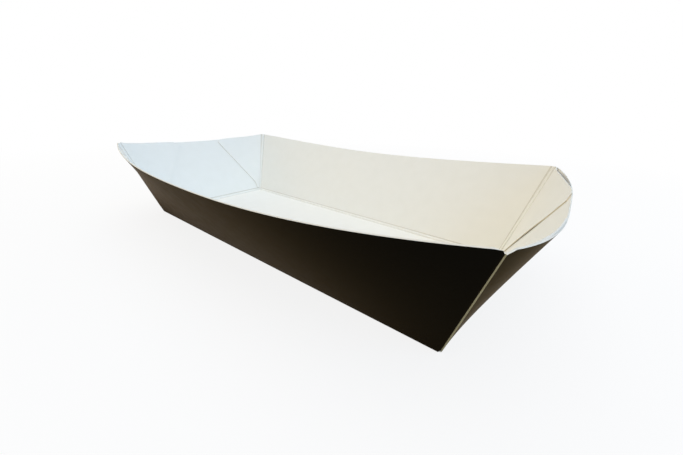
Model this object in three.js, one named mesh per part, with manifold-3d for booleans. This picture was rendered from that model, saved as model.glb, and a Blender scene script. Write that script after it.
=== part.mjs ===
import * as THREE from 'three';
import Module from 'manifold-3d';

// A boat-shaped food tray, folded and glued from one die-cut sheet of coated paperboard.
// Millimetres. The origin is the centre of the base's underside. +X runs along the tray, +Z is up.
// The sheet has a base, two long walls with a glue flap at each of their ends, and two end walls.
// Each flap turns the corner and is glued to the inside of the end wall, which laps it outside.

// Board
const boardThickness = 0.38;
const foldReach = 0.5; // length of board, each side of a crease, that bends round it
const beadRadius = 0.6; // ridge that a crease raises on the inside of a fold
const glueSink = 0.1; // how far a glued flap presses into the end wall

// Base, between its creases
const baseLength = 180;
const baseWidth = 74;

// Walls: upright height at the corners, and how far a corner leans out past the base
const wallHeight = 42;
const endFlare = 10.8;
const sideFlare = 15.4;

// Walls bow outwards between the corners, most at the middle of the rim
const sideBow = 14.4;
const sideBowPower = 2.5;
const endBow = 8.8;
const endBowPower = 3;

// Rims dip between the corners
const sideRimDip = 5.6;
const sideDipPower = 2;
const endRimDip = 3;
const endDipPower = 2.5;

// One top corner of this hand-closed tray was set further in than the others
const pulledCornerInset = 3.3;

// The rim is nicked at one corner, where its crease was pressed down
const nickWidth = 0.7;
const nickDepth = 1;

// Glue flap: its slanting free edge is given as reach from the corner crease at a height
const flapFootReach = 1.2;
const flapAnkleHeight = 1.9;
const flapAnkleReach = 2.6;
const flapHeelHeight = 3.5;
const flapHeelReach = 3.8;
const flapEdgeHeight = 6.5;
const flapEdgeReach = 4.9;
const flapTipReach = 36.4;
const flapTipDrop = 4.3; // below the wall height
const flapShoulderReach = 33.2;
const flapShoulderDrop = 2.4;
const flapCollarReach = 2.2; // the top edge is level with the rim up to here
const flapTopReach = 4.3; // and has dropped by this reach
const flapTopDrop = 1.1;
const wideFlapExtra = 5.5; // one flap reaches this much further than the other three

// The wide flap is glued only low down: near the rim it stands off the end wall
const standOff = 1.65;

// End wall: its cut side edges close in on the corner creases just above the base
const sideEdgeGap = 0.05;
const sideEdgeFootGap = 0.5;
const sideEdgeFoot = 2.5; // height over which they close in
const endCornerCut = 1.1; // width cut off its top corners
const endCornerDrop = 1.1;
const endWallTongue = 5; // length of base that each end wall is drawn with

// Fineness of the facets
const sideSpans = 36;
const endSpans = 26;
const upperRows = 5;
const foldSteps = 3;
const flapSpans = 10;

const halfLength = baseLength / 2;
const halfWidth = baseWidth / 2;
const flapFootHeight = boardThickness + beadRadius;
const flapTipHeight = wallHeight - flapTipDrop;

const wasm = await Module();
wasm.setup();

// Outer face of a long wall. side is 1 or -1 for its side in Y, along runs from -1 to 1 between
// the corners. Its upright lines are straight, so the board bends one way only.
function sidePoint(side, along, height) {
  const rise = height / wallHeight;
  const bow = sideBow * (1 - Math.abs(along) ** sideBowPower);
  const inset = side < 0 ? pulledCornerInset * rise * (1 - along) / 2 : 0;
  return new THREE.Vector3(
    along * (halfLength + endFlare * rise),
    side * (halfWidth + (sideFlare + bow) * rise) + inset,
    height,
  );
}

// Outer face of the flaps at one end, where the end wall is glued. end is 1 or -1 for its side in
// X, along runs from -1 to 1 between the corners.
function endPoint(end, along, height) {
  const rise = height / wallHeight;
  const bow = endBow * (1 - Math.abs(along) ** endBowPower);
  const inset = end < 0 ? pulledCornerInset * rise * (1 - along) / 2 : 0;
  return new THREE.Vector3(
    end * (halfLength + (endFlare + bow) * rise),
    along * (halfWidth + sideFlare * rise) + inset,
    height,
  );
}

// A distance from a corner crease, as a share of the way between the corners.
function sideAlong(distance, height) {
  return 1 - distance / (halfLength + endFlare * height / wallHeight);
}

function endAlong(distance, height) {
  return 1 - distance / (halfWidth + sideFlare * height / wallHeight);
}

// Inward unit normal of a wall surface, from small steps along its two directions.
function inwardNormal(surface, turn, along, height) {
  const step = 1e-3;
  const across = surface(along + step, height).sub(surface(along - step, height));
  const up = surface(along, height + step).sub(surface(along, height - step));
  return across.cross(up).multiplyScalar(turn).normalize();
}

function sideRim(side, along) {
  const dip = sideRimDip * (1 - Math.abs(along) ** sideDipPower);
  const distance = (1 - along) * (halfLength + endFlare);
  const nick = side < 0 ? nickDepth * Math.max(0, 1 - distance / nickWidth) : 0;
  return wallHeight - dip - nick;
}

function endRim(along) {
  const dip = endRimDip * (1 - Math.abs(along) ** endDipPower);
  const distance = (1 - Math.abs(along)) * (halfWidth + sideFlare);
  return wallHeight - dip - endCornerDrop * Math.max(0, 1 - distance / endCornerCut);
}

// Value at x on straight lines between points [x, value], in rising order of x, and level before
// the first of them.
function onLines(points, x) {
  if (x <= points[0][0]) {
    return points[0][1];
  }
  let k = 1;
  while (k < points.length - 1 && x > points[k][0]) {
    k += 1;
  }
  const share = (x - points[k - 1][0]) / (points[k][0] - points[k - 1][0]);
  return THREE.MathUtils.lerp(points[k - 1][1], points[k][1], share);
}

function isWideFlap(end, side) {
  return end > 0 && side > 0;
}

function flapExtra(end, side) {
  return isWideFlap(end, side) ? wideFlapExtra : 0;
}

// Distance of a flap's free edge from the corner crease.
function flapReach(end, side, height) {
  const edge = [
    [flapFootHeight, flapFootReach],
    [flapAnkleHeight, flapAnkleReach],
    [flapHeelHeight, flapHeelReach],
    [flapEdgeHeight, flapEdgeReach],
    [flapTipHeight, flapTipReach],
  ];
  return onLines(edge, height) + flapExtra(end, side);
}

// Height of a flap's top edge at a distance from the corner crease.
function flapTop(end, side, distance) {
  const extra = flapExtra(end, side);
  return onLines([
    [flapCollarReach, wallHeight],
    [flapTopReach, wallHeight - flapTopDrop],
    [flapShoulderReach + extra, wallHeight - flapShoulderDrop],
    [flapTipReach + extra, flapTipHeight],
  ], distance);
}

// Outer face of a flap. The wide flap's stand-off from the end wall is half a sine wave along the
// flap, and grows as the square of the height.
function flapPoint(end, side, distance, height) {
  const point = endPoint(end, side * endAlong(distance, height), height);
  if (isWideFlap(end, side)) {
    const wave = Math.sin(Math.PI * Math.min(distance / flapShoulderReach, 1));
    point.x -= end * standOff * wave * (height / wallHeight) ** 2;
  }
  return point;
}

// One step across a fold. The outside is a quadratic curve from a point on one panel to a point on
// the other, with the crease as its middle handle. The inside is an arc of the bead, round the
// corner where the two inner faces would meet.
function foldStep(outerFrom, crease, outerTo, innerCorner, share) {
  const outer = new THREE.Vector3()
    .addScaledVector(outerFrom, (1 - share) ** 2)
    .addScaledVector(crease, 2 * share * (1 - share))
    .addScaledVector(outerTo, share ** 2);
  const from = outerFrom.clone().sub(crease).normalize();
  const to = outerTo.clone().sub(crease).normalize();
  const angle = from.angleTo(to);
  const inner = innerCorner.clone()
    .addScaledVector(from, beadRadius * Math.sin((1 - share) * angle) / Math.sin(angle))
    .addScaledVector(to, beadRadius * Math.sin(share * angle) / Math.sin(angle));
  return { outer, inner };
}

// Where two inner faces meet: the crease moved in by the board's thickness along both normals.
function innerCornerOf(crease, normalA, normalB) {
  const both = normalA.clone().add(normalB);
  return crease.clone().addScaledVector(both, boardThickness / (1 + normalA.dot(normalB)));
}

// A sheet of board is a set of patches. Each patch is a grid of points that have an outer and an
// inner place, and patches that share a row of points are joined there.
class Sheet {
  constructor() {
    this.points = [];
    this.cells = [];
  }

  point({ outer, inner }) {
    this.points.push({ outer, inner });
    return this.points.length - 1;
  }

  patch(rows) {
    for (let i = 0; i + 1 < rows.length; i += 1) {
      for (let j = 0; j + 1 < rows[i].length; j += 1) {
        this.cells.push([rows[i][j], rows[i + 1][j], rows[i + 1][j + 1], rows[i][j + 1]]);
      }
    }
  }

  // Closed solid: both faces of every cell, and a cut edge wherever only one cell has the edge.
  solid() {
    const count = this.points.length;
    const edges = new Map();
    const triangles = [];
    for (const cell of this.cells) {
      cell.forEach((start, k) => {
        const end = cell[(k + 1) % cell.length];
        if (!edges.delete(`${end},${start}`)) {
          edges.set(`${start},${end}`, [start, end]);
        }
      });
      const [a, b, c, d] = cell;
      triangles.push(a, b, c, a, c, d);
      triangles.push(count + a, count + c, count + b, count + a, count + d, count + c);
    }
    for (const [start, end] of edges.values()) {
      triangles.push(start, count + start, end, end, count + start, count + end);
    }
    const places = [...this.points.map((p) => p.outer), ...this.points.map((p) => p.inner)];
    return new wasm.Manifold(new wasm.Mesh({
      numProp: 3,
      vertProperties: new Float32Array(places.flatMap((p) => p.toArray())),
      triVerts: new Uint32Array(triangles),
    }));
  }
}

function steps(count) {
  return Array.from({ length: count + 1 }, (_, k) => k / count);
}

// Rows up a wall, as shares of its height above the fold: two at the flap's heel, then even ones.
function wallRows() {
  const shareOf = (height) => (height - flapFootHeight) / (flapTipHeight - flapFootHeight);
  const upper = steps(upperRows).map((k) => THREE.MathUtils.lerp(shareOf(flapEdgeHeight), 1, k));
  return [shareOf(flapAnkleHeight), shareOf(flapHeelHeight), ...upper];
}

// Stations from one corner to the other. The last on each side is short of the crease by the fold,
// and the next lies where the cut at the corner of the rim ends.
function stations(half, rimHalf, cut, spans) {
  const last = 1 - foldReach / half;
  const inside = 1 - cut / rimHalf;
  const even = steps(spans).map((share) => THREE.MathUtils.lerp(-inside, inside, share));
  return [-last, ...even, last];
}

// The fold between the base and a long wall at one station, from the base upwards.
function sideFold(side, along) {
  const crease = sidePoint(side, along, 0);
  const up = sidePoint(side, along, 1).sub(crease).normalize();
  const inward = new THREE.Vector3(0, -side, 0);
  const normal = new THREE.Vector3(0, -side * up.z, side * up.y).normalize();
  const innerCorner = innerCornerOf(crease, new THREE.Vector3(0, 0, 1), normal);
  const onBase = crease.clone().addScaledVector(inward, foldReach);
  const onWall = crease.clone().addScaledVector(up, foldReach);
  return steps(foldSteps).map((share) => foldStep(onBase, crease, onWall, innerCorner, share));
}

// The fold between a long wall and its flap at one height, from the wall to the flap.
function cornerFold(end, side, height) {
  const crease = sidePoint(side, end, height);
  const onWall = sidePoint(side, end * sideAlong(foldReach, height), height);
  const onFlap = flapPoint(end, side, foldReach, height);
  const wallLine = onWall.clone().sub(crease).normalize();
  const flapLine = onFlap.clone().sub(crease).normalize();
  const wallNormal = new THREE.Vector3(-wallLine.y, wallLine.x, 0).multiplyScalar(end * side);
  const flapNormal = new THREE.Vector3(flapLine.y, -flapLine.x, 0).multiplyScalar(end * side);
  const innerCorner = innerCornerOf(crease, wallNormal, flapNormal);
  return (share) => foldStep(onWall, crease, onFlap, innerCorner, share);
}

// One long wall with its two corner folds and flaps: rows from the base fold up to the rim.
function sideGrid(sheet, side, sideStations, footRow) {
  const surface = (along, height) => sidePoint(side, along, height);
  const lastStation = sideStations.length - 1;
  const footHeight = sheet.points[footRow[0]].outer.z;

  // Points past one corner, from the wall outwards, at one share of the height.
  const pastCorner = (end, share) => {
    const foldTop = [
      [0, sideRim(side, end * sideAlong(foldReach, wallHeight))],
      [0.5, sideRim(side, end)],
      [1, wallHeight],
    ];
    const fold = steps(foldSteps).slice(1).map((turn) => {
      const height = THREE.MathUtils.lerp(flapFootHeight, onLines(foldTop, turn), share);
      return sheet.point(cornerFold(end, side, height)(turn));
    });
    const tip = flapReach(end, side, flapTipHeight);
    const shareOf = (distance) => (distance - foldReach) / (tip - foldReach);
    const start = shareOf(flapTopReach);
    const shoulder = shareOf(flapShoulderReach + flapExtra(end, side));
    const edge = flapReach(end, side, THREE.MathUtils.lerp(flapFootHeight, flapTipHeight, share));
    const surface = (distance, height) => flapPoint(end, side, distance, height);
    const even = steps(flapSpans).map((k) => THREE.MathUtils.lerp(start, shoulder, k));
    const columns = [shareOf(flapCollarReach), ...even, 1];
    const flap = columns.map((column) => {
      const top = flapTop(end, side, THREE.MathUtils.lerp(foldReach, tip, column));
      const height = THREE.MathUtils.lerp(flapFootHeight, top, share);
      const distance = THREE.MathUtils.lerp(foldReach, edge, column);
      const outer = surface(distance, height);
      const normal = inwardNormal(surface, end * side, distance, height);
      return sheet.point({ outer, inner: outer.clone().addScaledVector(normal, boardThickness) });
    });
    return [...fold, ...flap];
  };

  const wallRow = (share) => sideStations.map((along, j) => {
    const height = THREE.MathUtils.lerp(footHeight, sideRim(side, along), share);
    if (j === 0 || j === lastStation) {
      return sheet.point(cornerFold(Math.sign(along), side, height)(0));
    }
    const outer = surface(along, height);
    const normal = inwardNormal(surface, side, along, height);
    return sheet.point({ outer, inner: outer.clone().addScaledVector(normal, boardThickness) });
  });

  return [0, ...wallRows()].map((share) => {
    const wall = share === 0 ? footRow : wallRow(share);
    return [...pastCorner(-1, share).reverse(), ...wall, ...pastCorner(1, share)];
  });
}

// The base, both long walls and all four flaps.
function baseAndSides() {
  const sheet = new Sheet();
  const sideStations = stations(halfLength, halfLength + endFlare, nickWidth, sideSpans);
  const foldRows = (side) => {
    const folds = sideStations.map((along) => sideFold(side, along));
    return steps(foldSteps).map((_, k) => folds.map((fold) => sheet.point(fold[k])));
  };
  const nearFold = foldRows(-1);
  const farFold = foldRows(1);
  const nearWall = sideGrid(sheet, -1, sideStations, nearFold[foldSteps]);
  const farWall = sideGrid(sheet, 1, sideStations, farFold[foldSteps]);
  sheet.patch([...nearWall].reverse());
  sheet.patch([...[...nearFold].reverse(), ...farFold]);
  sheet.patch(farWall);
  return sheet.solid();
}

// An end wall with the end of the base. Its inside lies a little deeper than the flaps' outside.
function endWall(end) {
  const sheet = new Sheet();
  const shift = new THREE.Vector3(end * (boardThickness - glueSink), 0, 0);
  const surface = (along, height) => endPoint(end, along, height).add(shift);
  const inward = new THREE.Vector3(-end, 0, 0);
  const upNormal = new THREE.Vector3(0, 0, 1);
  const endStations = stations(halfWidth, halfWidth + sideFlare, endCornerCut, endSpans);
  const columns = endStations.map((along, k) => {
    const isSideEdge = k === 0 || k === endStations.length - 1;
    const alongAt = (height) => {
      const closing = Math.min(height / sideEdgeFoot, 1);
      const gap = THREE.MathUtils.lerp(sideEdgeFootGap, sideEdgeGap, closing);
      return isSideEdge ? Math.sign(along) * endAlong(gap, height) : along;
    };
    const top = endRim(alongAt(wallHeight));
    const crease = surface(along, 0);
    const up = surface(along, 1).sub(crease).normalize();
    const normal = new THREE.Vector3(-end * up.z, 0, end * up.x).normalize();
    const innerCorner = innerCornerOf(crease, upNormal, normal);
    const onBase = crease.clone().addScaledVector(inward, foldReach);
    const onWall = crease.clone().addScaledVector(up, foldReach);
    const tongue = crease.clone().addScaledVector(inward, endWallTongue);
    const tongueTop = tongue.clone().addScaledVector(upNormal, boardThickness);
    const fold = steps(foldSteps).map((share) => foldStep(onBase, crease, onWall, innerCorner, share));
    const wall = wallRows().map((share) => {
      const height = THREE.MathUtils.lerp(onWall.z, top, share);
      const outer = surface(alongAt(height), height);
      const inside = inwardNormal(surface, -end, alongAt(height), height);
      return { outer, inner: outer.clone().addScaledVector(inside, boardThickness) };
    });
    return [{ outer: tongue, inner: tongueTop }, ...fold, ...wall].map((p) => sheet.point(p));
  });
  sheet.patch(end > 0 ? columns : [...columns].reverse());
  return sheet.solid();
}

function geometryOf(manifold) {
  const mesh = manifold.getMesh();
  const geometry = new THREE.BufferGeometry();
  geometry.setAttribute('position', new THREE.BufferAttribute(mesh.vertProperties, mesh.numProp));
  geometry.setIndex(new THREE.BufferAttribute(mesh.triVerts, 1));
  geometry.computeVertexNormals();
  return geometry;
}

const folded = baseAndSides().add(endWall(1)).add(endWall(-1));
const paperboard = new THREE.MeshStandardMaterial({ color: 0x17171a, roughness: 0.6, metalness: 0 });
const foldedTray = new THREE.Mesh(geometryOf(folded), paperboard);
foldedTray.name = 'folded_tray';

const tray = new THREE.Group();
tray.add(foldedTray);

export default tray;
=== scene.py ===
"""A folded and glued paperboard food tray, black outside and white inside, on a pale floor."""
import math
import bmesh
import bpy
import numpy as np
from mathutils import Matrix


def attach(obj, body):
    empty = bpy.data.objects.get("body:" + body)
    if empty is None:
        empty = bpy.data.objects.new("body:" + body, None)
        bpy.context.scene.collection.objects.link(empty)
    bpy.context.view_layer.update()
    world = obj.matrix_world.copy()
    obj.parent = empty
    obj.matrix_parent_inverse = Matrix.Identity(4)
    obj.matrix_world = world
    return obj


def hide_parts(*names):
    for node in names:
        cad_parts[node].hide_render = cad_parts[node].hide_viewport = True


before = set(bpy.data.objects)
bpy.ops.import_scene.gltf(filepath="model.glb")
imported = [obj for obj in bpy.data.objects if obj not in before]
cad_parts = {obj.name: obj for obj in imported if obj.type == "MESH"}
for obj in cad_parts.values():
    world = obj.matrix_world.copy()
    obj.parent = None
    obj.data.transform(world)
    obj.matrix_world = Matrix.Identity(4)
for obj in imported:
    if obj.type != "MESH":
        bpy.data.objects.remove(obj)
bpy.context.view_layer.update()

# The die-cut board
# The tray is one sheet of 0.38 mm coated paperboard, die-cut, creased and folded into a base, two
# long walls and two end walls. The walls bow outwards, so their rims are curved. The top corner
# (-1, -1) is pulled in across the tray, and the pull fades out along both of its walls. Millimetres.

MILLIMETRE = 0.001
board = 0.38
base_half_length = 90.0
base_half_width = 37.0
wall_height = 42.0
end_flare, side_flare = 10.8, 15.4
side_bow, side_bow_power = 14.4, 2.5
end_bow, end_bow_power = 8.8, 3.0
side_rim_dip, side_dip_power = 5.6, 2.0
end_rim_dip, end_dip_power = 3.0, 2.5
pulled_corner_inset = 3.3
nicked_corner = (1, -1)
nick_width, nick_depth = 0.7, 1.0
end_corner_cut, end_corner_drop = 1.1, 1.1


def side_face(side, along, height):
    """Outside of a long wall. Its upright lines are straight and lean out by the flare plus the
    bow, and the bow falls from the middle to the corners as one minus a power of the way along."""
    rise = height / wall_height
    bow = side_bow * (1 - np.abs(along) ** side_bow_power)
    inset = (side < 0) * pulled_corner_inset * rise * (1 - along) / 2
    return np.stack(np.broadcast_arrays(
        along * (base_half_length + end_flare * rise),
        side * (base_half_width + (side_flare + bow) * rise) + inset,
        height,
    ), axis=-1)


def end_face(end, along, height):
    """Lap between the flaps and an end wall: the same rule as a long wall, turned to the end."""
    rise = height / wall_height
    bow = end_bow * (1 - np.abs(along) ** end_bow_power)
    inset = (end < 0) * pulled_corner_inset * rise * (1 - along) / 2
    return np.stack(np.broadcast_arrays(
        end * (base_half_length + (end_flare + bow) * rise),
        along * (base_half_width + side_flare * rise) + inset,
        height,
    ), axis=-1)


def side_along(distance, height):
    """Way along a long wall, at a distance from the corner crease."""
    return 1 - distance / (base_half_length + end_flare * height / wall_height)


def end_along(distance, height):
    """Way along an end wall, at a distance from the corner crease."""
    return 1 - distance / (base_half_width + side_flare * height / wall_height)


def side_rim(side, along):
    """Height of a long wall's rim: the corner height less a dip, and at the nicked corner less a
    straight ramp over the last bit before the crease."""
    distance = (1 - along) * (base_half_length + end_flare)
    nick = (side < 0) * nick_depth * np.maximum(0, 1 - distance / nick_width)
    return wall_height - side_rim_dip * (1 - np.abs(along) ** side_dip_power) - nick


def end_rim(along):
    """Height of an end wall's rim: the corner height less a dip, and less the cut-off corners."""
    distance = (1 - np.abs(along)) * (base_half_width + side_flare)
    cut = end_corner_drop * np.maximum(0, 1 - distance / end_corner_cut)
    return wall_height - end_rim_dip * (1 - np.abs(along) ** end_dip_power) - cut


def unit(vectors):
    """Vectors scaled to length one."""
    return vectors / np.linalg.norm(vectors, axis=-1, keepdims=True)


def inside_of(outer, towards):
    """Inner face of a grid of points: each point moved in by the board's thickness along the
    grid's normal, the cross product of its two finite differences."""
    normal = unit(np.cross(np.gradient(outer, axis=0), np.gradient(outer, axis=1)))
    facing = np.sign(np.sum(normal * towards, axis=-1, keepdims=True))
    return outer + board * normal * facing


# Creases
# The board is scored along each fold before it is folded. Outside it bends round a small radius.
# Inside, the score raises a bead along the fold, and the strips on both sides of it are painted a
# little grey as shade on its flanks.

fold_reach = 0.5
bead_radius = 0.9
fold_points = 9
fold_shares = np.linspace(0, 1, fold_points)


def fold(share, start, crease, finish, normal_a, normal_b):
    """Points across a crease. The outside is a quadratic curve from the start to the finish, with
    the crease as its handle. The inside is a circular arc round the point where the two inner
    faces would meet. All arrays are of one shape but for the share of the way across."""
    outer = (1 - share) ** 2 * start + 2 * share * (1 - share) * crease + share ** 2 * finish
    cosine = np.sum(normal_a * normal_b, axis=-1, keepdims=True)
    inner_corner = crease + (normal_a + normal_b) * board / (1 + cosine)
    a, b = unit(start - crease), unit(finish - crease)
    angle = np.arccos(np.sum(a * b, axis=-1, keepdims=True))
    arc = (a * np.sin((1 - share) * angle) + b * np.sin(share * angle)) / np.sin(angle)
    return outer, inner_corner + bead_radius * arc


def base_fold(face, outward, reach, along):
    """Fold between the base and a wall, with one row for each station along it."""
    crease = face(along, 0.0)[:, None]
    up = unit(face(along, 1.0)[:, None] - crease)
    wall_normal = unit(np.cross(up, np.cross(up, outward)))
    upright = np.broadcast_to((0.0, 0.0, 1.0), crease.shape)
    return fold(fold_shares[:, None], crease - reach * outward, crease, crease + reach * up,
                upright, wall_normal)


# Glue flaps
# At each end of a long wall a flap turns the corner and is glued inside the end wall. Its top edge
# drops a little to a cut-off tip, and its free edge slants down from there to a heel at the base.
# The end wall's inner face stands where the part has it, a glue sink inside the lap surface, and the
# flaps here are set clear of it by the lap gap.

glue_sink = 0.1
lap_gap = 0.03
flap_foot_height = board + bead_radius
flap_top_drop = 1.1
flap_shoulder_height, flap_tip_height = 39.6, 37.7
# Along the top edge: the end of the level bit, the end of the drop, and the shoulder.
flap_top_reaches = (2.2, 4.3, 33.2)
flap_top_heights = (wall_height - flap_top_drop, flap_shoulder_height)
# Up the free edge: the foot, three points of the heel, and the tip.
flap_edge_heights = (flap_foot_height, 1.9, 3.5, 6.5, flap_tip_height)
flap_edge_reaches = (1.2, 2.6, 3.8, 4.9, 36.4)
wide_flap = (1, 1)
wide_flap_extra, wide_flap_stand_off = 5.5, 1.65
flap_bead_clearance = 1.8
flap_columns, tip_cells, wall_rows = 40, 4, 37
wall_shares = np.linspace(0, 1, wall_rows)


def flap_start(end, side):
    """Height of a flap's top edge at its crease. At the nicked corner it lacks the level bit."""
    return wall_height - flap_top_drop * ((end, side) == nicked_corner)


def flap_face(end, side, distance, height):
    """Outside of a flap: the lap surface moved in by the glue sink and the lap gap. The wide flap
    also stands off near the rim, by half a sine wave along the flap that grows as the square of the
    height."""
    point = end_face(end, side * end_along(distance, height), height)
    wave = np.sin(np.pi * np.clip(distance / flap_top_reaches[-1], 0, 1))
    stand_off = wide_flap_stand_off * wave * (height / wall_height) ** 2
    point[..., 0] -= end * (glue_sink + lap_gap + ((end, side) == wide_flap) * stand_off)
    return point


def corner_points(end, side, height, share):
    """Outer and inner points of a corner fold, at a height and a share of the way across it."""
    crease = side_face(side, float(end), height)
    start = side_face(side, end * side_along(fold_reach, height), height)
    finish = flap_face(end, side, fold_reach, height)
    a, b = unit(start - crease), unit(finish - crease)
    level = np.zeros_like(a[..., 0])
    normal_a = np.stack([-a[..., 1], a[..., 0], level], axis=-1) * end * side
    normal_b = np.stack([b[..., 1], -b[..., 0], level], axis=-1) * end * side
    return fold(share, start, crease, finish, normal_a, normal_b)


def corner_fold(end, side, wall_outer, wall_inner):
    """Fold between a long wall and its flap, with rows upwards and columns away from the wall. Its
    top edge runs from the wall's rim to the flap's, through the height of the rim at the crease."""
    wall_top = side_rim(side, end * side_along(fold_reach, wall_height))
    crease_top = side_rim(side, float(end))
    top = np.interp(fold_shares, (0, 0.5, 1), (wall_top, crease_top, flap_start(end, side)))
    height = flap_foot_height + wall_shares[:, None] * (top - flap_foot_height)
    outer, inner = corner_points(end, side, height, fold_shares[:, None])
    outer[:, 0], inner[:, 0] = wall_outer, wall_inner
    return outer, inner


def flap(end, side, fold_outer, fold_inner):
    """Flap grid, with rows upwards and columns away from the crease. The last column is the free
    edge, and the top row is the top edge, whose last few cells run from the shoulder to the tip."""
    extra = wide_flap_extra if (end, side) == wide_flap else 0.0
    edges = np.array(flap_edge_reaches) + extra
    tip = edges[-1]
    tops = np.array((*flap_top_reaches, tip)) + (0, 0, extra, 0)
    columns = np.linspace(flap_bead_clearance, tip, flap_columns)
    reaches = np.concatenate([[fold_reach], columns, tops])
    ways = np.unique((reaches - fold_reach) / (tip - fold_reach))
    top_heights = (flap_start(end, side), *flap_top_heights, flap_tip_height)
    top = np.interp(fold_reach + ways * (tip - fold_reach), tops, top_heights)
    height = flap_foot_height + wall_shares[:, None] * (top - flap_foot_height)
    edge_height = flap_foot_height + wall_shares[:, None] * (flap_tip_height - flap_foot_height)
    distance = fold_reach + ways * (np.interp(edge_height, flap_edge_heights, edges) - fold_reach)
    outer = flap_face(end, side, distance, height)
    inner = inside_of(outer, (-end, 0, 0))
    outer[:, 0], inner[:, 0] = fold_outer, fold_inner
    return outer, inner


# Walls and base
# The base and the four walls of the sheet. Each end wall laps the flaps outside and is glued to
# them, and its cut side edges lie flush with the corner creases. The stations are the ways along a
# wall at which its grid has columns. All but the first and last keep clear of the corner beads.

PRINT, WHITE, CUT_EDGE, SIDE_EDGE, FLAP_EDGE, SCORE_SHADE = range(6)
side_columns, end_columns = 139, 55
side_bead_clearance, end_bead_clearance = 1.8, 1.9
side_inner = 1 - side_bead_clearance / (base_half_length + end_flare)
side_last = 1 - fold_reach / base_half_length
side_middle = np.linspace(-side_inner, side_inner, side_columns)
side_stations = np.concatenate([[-side_last], side_middle, [side_last]])
end_inner = 1 - end_bead_clearance / (base_half_width + side_flare)
end_last = 1 - fold_reach / base_half_width
end_middle = np.linspace(-end_inner, end_inner, end_columns)
end_stations = np.concatenate([[-end_last], end_middle, [end_last]])
side_edge_gap, side_edge_foot_gap, side_edge_foot = 0.05, 0.5, 2.5


def side_wall(side, fold_outer, fold_inner):
    """Long wall grid, from its fold up to its rim, joined to the corner folds at both ends."""
    foot = fold_outer[:, -1, 2]
    height = foot + wall_shares[:, None] * (side_rim(side, side_stations) - foot)
    outer = side_face(side, side_stations, height)
    inner = inside_of(outer, (0, -side, 0))
    for column, end in ((0, -1), (-1, 1)):
        outer[:, column], inner[:, column] = corner_points(end, side, height[:, column], 0.0)
    outer[0], inner[0] = fold_outer[:, -1], fold_inner[:, -1]
    return outer, inner


def end_wall(end, fold_outer, fold_inner):
    """End wall grid, from its fold up to its rim. The last column on each side closes in on the
    corner crease over the first bit of height."""
    foot = fold_outer[:, -1, 2]
    along = np.tile(end_stations, (len(wall_shares), 1))
    rim = end_rim(end_stations)
    rim[[0, -1]] = end_rim(end_along(side_edge_gap, wall_height))
    height = foot + wall_shares[:, None] * (rim - foot)
    gap = np.interp(height[:, 0], (0, side_edge_foot), (side_edge_foot_gap, side_edge_gap))
    along[:, 0], along[:, -1] = -end_along(gap, height[:, 0]), end_along(gap, height[:, -1])
    outer = end_face(end, along, height) + (end * (board - glue_sink), 0, 0)
    inner = inside_of(outer, (-end, 0, 0))
    outer[0], inner[0] = fold_outer[:, -1], fold_inner[:, -1]
    return outer, inner


def tray_patches():
    """All grids of the board, each as outer points, inner points, letters of its cut edges and
    letters of the edges that lie beside a bead. The letters are b and t for the first and last
    rows, l and r for the first and last columns, T for a flap's top row and s for an end wall's
    sides."""
    side_folds, end_folds = {}, {}
    for side in (-1, 1):
        side_folds[side] = base_fold(lambda along, z: side_face(side, along, z),
                                     np.array((0.0, side, 0.0)), fold_reach, side_stations)
    for end in (-1, 1):
        shift = board - glue_sink
        outer, inner = base_fold(lambda along, z: end_face(end, along, z) + (end * shift, 0, 0),
                                 np.array((end, 0.0, 0.0)), fold_reach + shift, end_stations)
        for row, side in ((0, -1), (-1, 1)):
            column = 0 if end < 0 else -1
            outer[row, 0] = side_folds[side][0][column, 0]
            inner[row, 0] = side_folds[side][1][column, 0]
        end_folds[end] = outer, inner

    x = side_stations * base_half_length
    y = end_stations * base_half_width
    outer = np.stack(np.broadcast_arrays(x[:, None], y[None, :], 0.0), axis=-1).copy()
    inner = outer + (0, 0, board)
    for column, side in ((0, -1), (-1, 1)):
        outer[:, column], inner[:, column] = (part[:, 0] for part in side_folds[side])
    for row, end in ((0, -1), (-1, 1)):
        outer[row], inner[row] = (part[:, 0] for part in end_folds[end])
    patches = [(outer, inner, "", "bltr")]

    for side in (-1, 1):
        outer, inner = side_wall(side, *side_folds[side])
        patches += [(*side_folds[side], "bt", ""), (outer, inner, "t", "blr")]
        for column, end in ((0, -1), (-1, 1)):
            fold_outer, fold_inner = corner_fold(end, side, outer[:, column], inner[:, column])
            patches.append((fold_outer, fold_inner, "bt", ""))
            patches.append((*flap(end, side, fold_outer[:, -1], fold_inner[:, -1]), "bTr", "l"))
    for end in (-1, 1):
        patches += [(*end_folds[end], "bt", ""), (*end_wall(end, *end_folds[end]), "ts", "b")]
    return patches


def grid_quads(points):
    """Four corner arrays of each cell of a grid, in order round the cell."""
    return np.stack([points[:-1, :-1], points[1:, :-1], points[1:, 1:], points[:-1, 1:]], axis=2)


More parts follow.
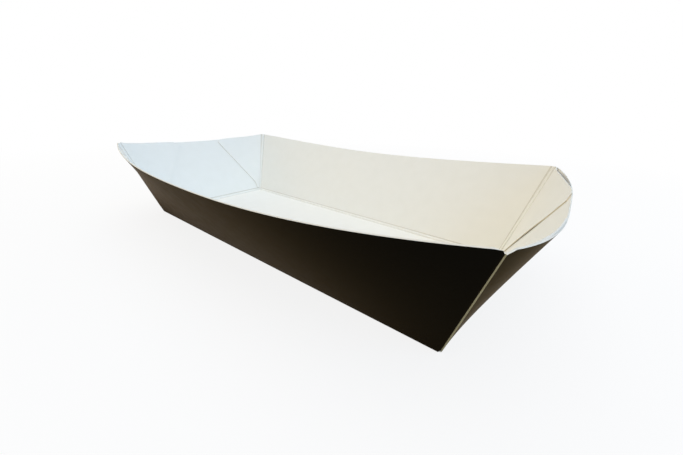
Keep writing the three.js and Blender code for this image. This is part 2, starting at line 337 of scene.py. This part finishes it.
def board_mesh(name, patches):
    """One closed mesh of board. Outer and inner cells are quads, and each cut side adds a strip of
    quads between the two faces. Points that agree to four decimals become one. Each cell has the
    number of its finish, and the inner cells beside a bead get a grey finish that is painted shade
    on the bead's flanks."""
    quads, kinds = [], []
    borders = {"b": np.s_[0], "t": np.s_[-1], "l": np.s_[:, 0], "r": np.s_[:, -1]}
    for outer, inner, cut, bead_shade_letters in patches:
        inside_kinds = np.full((inner.shape[0] - 1, inner.shape[1] - 1), WHITE)
        # Inner cells beside a bead take a grey finish, painted shade on the bead's flanks.
        for letter in bead_shade_letters:
            inside_kinds[borders[letter]] = SCORE_SHADE
        strips = [(grid_quads(outer), PRINT), (grid_quads(inner)[:, :, ::-1], inside_kinds)]
        # A flap's free edge, and its top edge from the shoulder to the tip, take the flap edge
        # finish. That finish is darkened with a painted shadow for the gap beside the flap.
        to_tip = np.arange(outer.shape[1] - 1)[::-1]
        tip_kinds = np.where(to_tip < tip_cells, FLAP_EDGE, CUT_EDGE)
        sides = {"b": [(outer[0], inner[0], CUT_EDGE)],
                 "t": [(outer[-1], inner[-1], CUT_EDGE)],
                 "T": [(outer[-1], inner[-1], tip_kinds)],
                 "r": [(outer[:, -1], inner[:, -1], FLAP_EDGE)],
                 "s": [(outer[:, k], inner[:, k], SIDE_EDGE) for k in (0, -1)]}
        for letter in cut:
            strips += [(grid_quads(np.stack([a, b])), kind) for a, b, kind in sides[letter]]
        for cells, kind in strips:
            quads.append(cells.reshape(-1, 4, 3))
            kinds.append(np.broadcast_to(kind, cells.shape[:2]).ravel())
    corners = np.concatenate(quads).reshape(-1, 3)
    places = np.round(corners, 4)
    _, first, index = np.unique(places, axis=0, return_index=True, return_inverse=True)
    mesh = bpy.data.meshes.new(name)
    mesh.from_pydata(corners[first] * MILLIMETRE, [], index.reshape(-1, 4).tolist())
    mesh.polygons.foreach_set("material_index", np.concatenate(kinds).astype(np.int32))
    return mesh


tray_mesh = board_mesh("tray_board", tray_patches())
tray = bpy.data.objects.new("tray_board", tray_mesh)
bpy.context.scene.collection.objects.link(tray)

shell = bmesh.new()
shell.from_mesh(tray_mesh)
bmesh.ops.recalc_face_normals(shell, faces=shell.faces)
shell.to_mesh(tray_mesh)
shell.free()
tray_mesh.polygons.foreach_set("use_smooth", np.ones(len(tray_mesh.polygons), dtype=bool))
sharp_turn = math.radians(35)
tray_mesh.set_sharp_from_angle(angle=sharp_turn)


# Finishes
# The sheet is printed black and varnished outside, and white coated inside. Its fibre shows at the
# cut edges. Materials go on in the order of their numbers above.


def colour(hex_code):
    """sRGB hex to linear red, green, blue and alpha: each channel by the sRGB curve."""
    srgb = np.array([int(hex_code[k:k + 2], 16) for k in (1, 3, 5)]) / 255
    linear = np.where(srgb <= 0.04045, srgb / 12.92, ((srgb + 0.055) / 1.055) ** 2.4)
    return (*linear.tolist(), 1.0)


def add(tree, kind, inputs=None, **settings):
    """Adds one node with its settings, and sets or links its inputs."""
    node = tree.nodes.new(kind)
    for name, value in settings.items():
        setattr(node, name, value)
    for socket, value in (inputs or {}).items():
        if isinstance(value, bpy.types.NodeSocket):
            tree.links.new(value, node.inputs[socket])
        else:
            node.inputs[socket].default_value = value
    return node


def new_material(name):
    """Material without nodes, and its node tree."""
    material = bpy.data.materials.new(name)
    material.use_nodes = True
    material.node_tree.nodes.clear()
    return material, material.node_tree


def noise(tree, span, detail):
    """Noise from 0 to 1 that stays with the tray, with lumps about a span across."""
    place = add(tree, "ShaderNodeTexCoord").outputs["Object"]
    return add(tree, "ShaderNodeTexNoise", {
        "Vector": place, "Scale": 1 / (span * MILLIMETRE), "Detail": detail}).outputs["Fac"]


def blend(tree, share, first, second):
    """Mix of two hex colours by the share of the second."""
    mix = add(tree, "ShaderNodeMix", {
        "Factor": share, "A": colour(first), "B": colour(second)}, data_type="RGBA")
    return mix.outputs["Result"]


def relief(tree, height, strength, depth):
    """Normal of a bumpy surface, from a height from 0 to 1 that stands for the depth."""
    return add(tree, "ShaderNodeBump", {
        "Height": height, "Strength": strength, "Distance": depth * MILLIMETRE}).outputs["Normal"]


def finish_board(material, tree, inputs):
    """Completes a material with the inputs of its surface, and adds it to the board."""
    surface = add(tree, "ShaderNodeBsdfPrincipled", inputs)
    add(tree, "ShaderNodeOutputMaterial", {"Surface": surface.outputs["BSDF"]})
    tray_mesh.materials.append(material)


# Satin black print
# Black ink under a thin satin varnish. From the front it is nearly black, and at a glancing view the
# varnish mirrors the pale room as grey. The brown of its sheen tint and specular tint is a painted
# reflection of a warm room, not a colour of the print. Mottle in the ink and grain of the board
# break its gloss a little. The IOR is far under a varnish's, because the print in the photograph
# mirrors little of the room.
mottle_span, grain_span, grain_depth = 3.85, 0.667, 0.03
material, tree = new_material("satin_black_print")
mottle = noise(tree, mottle_span, 4.0)
gloss = add(tree, "ShaderNodeMapRange", {
    "Value": mottle, "From Min": 0.3, "From Max": 0.7, "To Min": 0.34, "To Max": 0.4})
finish_board(material, tree, {
    "Base Color": blend(tree, mottle, "#0A0A09", "#0D0D0B"),
    "Roughness": gloss.outputs["Result"],
    "Normal": relief(tree, noise(tree, grain_span, 3.0), 0.1, grain_depth),
    "IOR": 1.025, "Specular Tint": colour("#E0B070"),
    "Sheen Weight": 0.25, "Sheen Roughness": 0.35, "Sheen Tint": colour("#B88C1E")})

# White board inside
# Bleached pulp with a thin white coating. It is matt and slightly warm, with soft clouds where the
# fibres lie thicker and a fine fibre relief.
cloud_span, fibre_span, fibre_depth = 5.56, 0.833, 0.03
material, tree = new_material("white_board_inside")
finish_board(material, tree, {
    "Base Color": blend(tree, noise(tree, cloud_span, 5.0), "#EFEEE6", "#F4F3EC"),
    "Roughness": 0.7, "Specular IOR Level": 0.3,
    "Normal": relief(tree, noise(tree, fibre_span, 4.0), 0.2, fibre_depth)})

# Edges and scores
# Die-cut edges show bare plies, pale cream. The end walls' side edges are a dull olive that is
# painted shade, for edges that face away from the light. The flaps' free edges are darker with a
# painted shadow, for the gap beside them. The strips beside a bead are a little greyer with painted
# shade, for the bead's flanks.
ply_span = 0.4
for name, dark, pale in (("raw_cut_edge", "#DDD9CC", "#EFECE2"),
                         ("painted_shade_side_edge", "#98916F", "#ADA686"),
                         ("painted_shadow_flap_edge", "#C8BCA4", "#D8CDB8"),
                         ("painted_shade_score", "#D9D6CB", "#E2DFD5")):
    material, tree = new_material(name)
    finish_board(material, tree, {
        "Base Color": blend(tree, noise(tree, ply_span, 2.0), dark, pale),
        "Roughness": 0.9, "Specular IOR Level": 0.2})

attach(tray, "root")
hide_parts("folded_tray")

# The floor
# A plain white sweep of paper under the tray. It carries the tray's soft shadow, and it fades to
# pure white away from it. Metres.

floor_reach = 6.0
glow_start, glow_end, least_glow = 0.1, 0.5, 0.85


def shown_white(tree):
    """One for the rays that show the background, which are camera, glossy and transmission rays,
    and zero for those that only carry its light."""
    path = add(tree, "ShaderNodeLightPath")
    seen = add(tree, "ShaderNodeMath", {
        0: path.outputs["Is Camera Ray"], 1: path.outputs["Is Glossy Ray"]}, operation="MAXIMUM")
    seen = add(tree, "ShaderNodeMath", {
        0: seen.outputs[0], 1: path.outputs["Is Transmission Ray"]}, operation="MAXIMUM")
    return seen.outputs[0]


corners = [(-floor_reach, -floor_reach, 0), (floor_reach, -floor_reach, 0),
           (floor_reach, floor_reach, 0), (-floor_reach, floor_reach, 0)]
floor_mesh = bpy.data.meshes.new("floor")
floor_mesh.from_pydata(corners, [], [(0, 1, 2, 3)])
floor = bpy.data.objects.new("floor", floor_mesh)
bpy.context.scene.collection.objects.link(floor)
material, tree = new_material("pale_floor")
place = add(tree, "ShaderNodeTexCoord").outputs["Object"]
spread = add(tree, "ShaderNodeVectorMath", {0: place}, operation="LENGTH")
far = add(tree, "ShaderNodeMapRange", {
    "Value": spread.outputs["Value"], "From Min": glow_start, "From Max": glow_end,
    "To Min": least_glow, "To Max": 1.0})
matt = add(tree, "ShaderNodeBsdfDiffuse", {"Color": colour("#F6F6F6")})
glow = add(tree, "ShaderNodeEmission", {"Color": colour("#FFFFFF"), "Strength": 1.0})
share = add(tree, "ShaderNodeMath", {
    0: shown_white(tree), 1: far.outputs["Result"]}, operation="MULTIPLY")
mixed = add(tree, "ShaderNodeMixShader", {
    0: share.outputs[0], 1: matt.outputs["BSDF"], 2: glow.outputs["Emission"]})
add(tree, "ShaderNodeOutputMaterial", {"Surface": mixed.outputs["Shader"]})
floor_mesh.materials.append(material)

# Light
# A pale room that shows as white, a wide softbox overhead, warm ones on the left and in front, and
# a cool one on the right, which turns the left end of the tray faintly blue.

world = bpy.data.worlds.new("studio")
bpy.context.scene.world = world
world.use_nodes = True
tree = world.node_tree
tree.nodes.clear()
room = add(tree, "ShaderNodeBackground", {"Color": colour("#E8F1FF"), "Strength": 0.45})
white = add(tree, "ShaderNodeBackground", {"Color": colour("#FFFFFF"), "Strength": 1.0})
mixed = add(tree, "ShaderNodeMixShader", {
    0: shown_white(tree), 1: room.outputs["Background"], 2: white.outputs["Background"]})
add(tree, "ShaderNodeOutputWorld", {"Surface": mixed.outputs["Shader"]})

lamp_aim = (0.0, 0.0, 0.02)


def soft_lamp(name, place, size, power, tint):
    """Square area lamp at a place, turned to the tray. Its yaw and pitch are the angles of the line
    from the tray to the lamp."""
    lamp = bpy.data.lights.new(name, "AREA")
    lamp.size = size
    lamp.energy = power
    lamp.color = colour(tint)[:3]
    holder = bpy.data.objects.new(name, lamp)
    holder.location = place
    away = np.array(place) - lamp_aim
    yaw = math.atan2(away[1], away[0]) + math.pi / 2
    pitch = math.atan2(math.hypot(away[0], away[1]), away[2])
    holder.rotation_euler = (pitch, 0, yaw)
    bpy.context.scene.collection.objects.link(holder)


soft_lamp("overhead_softbox", (0.0, 0.1, 1.0), 1.2, 5.0, "#FFFFFF")
soft_lamp("warm_left_softbox", (-1.0, -0.2, 0.5), 0.6, 2.1, "#FFD878")
soft_lamp("cool_right_softbox", (1.0, 0.0, 0.55), 0.8, 4.8, "#9CCEFF")
soft_lamp("front_softbox", (0.2, -1.0, 0.7), 1.2, 2.5, "#FFD880")

# Camera
# A wide lens close above the near right corner, as fitted to the photograph, which gives the tray
# its strong taper.

camera_data = bpy.data.cameras.new("camera")
camera_data.sensor_width = 36.0
camera_data.lens = 15.08
camera_data.clip_start = 0.01
camera = bpy.data.objects.new("camera", camera_data)
camera.location = (0.10514, -0.10253, 0.06282)
camera.rotation_euler = tuple(math.radians(turn) for turn in (67.503, -1.271, 38.471))
bpy.context.scene.collection.objects.link(camera)
bpy.context.scene.camera = camera
bpy.context.scene.view_settings.view_transform = "Standard"
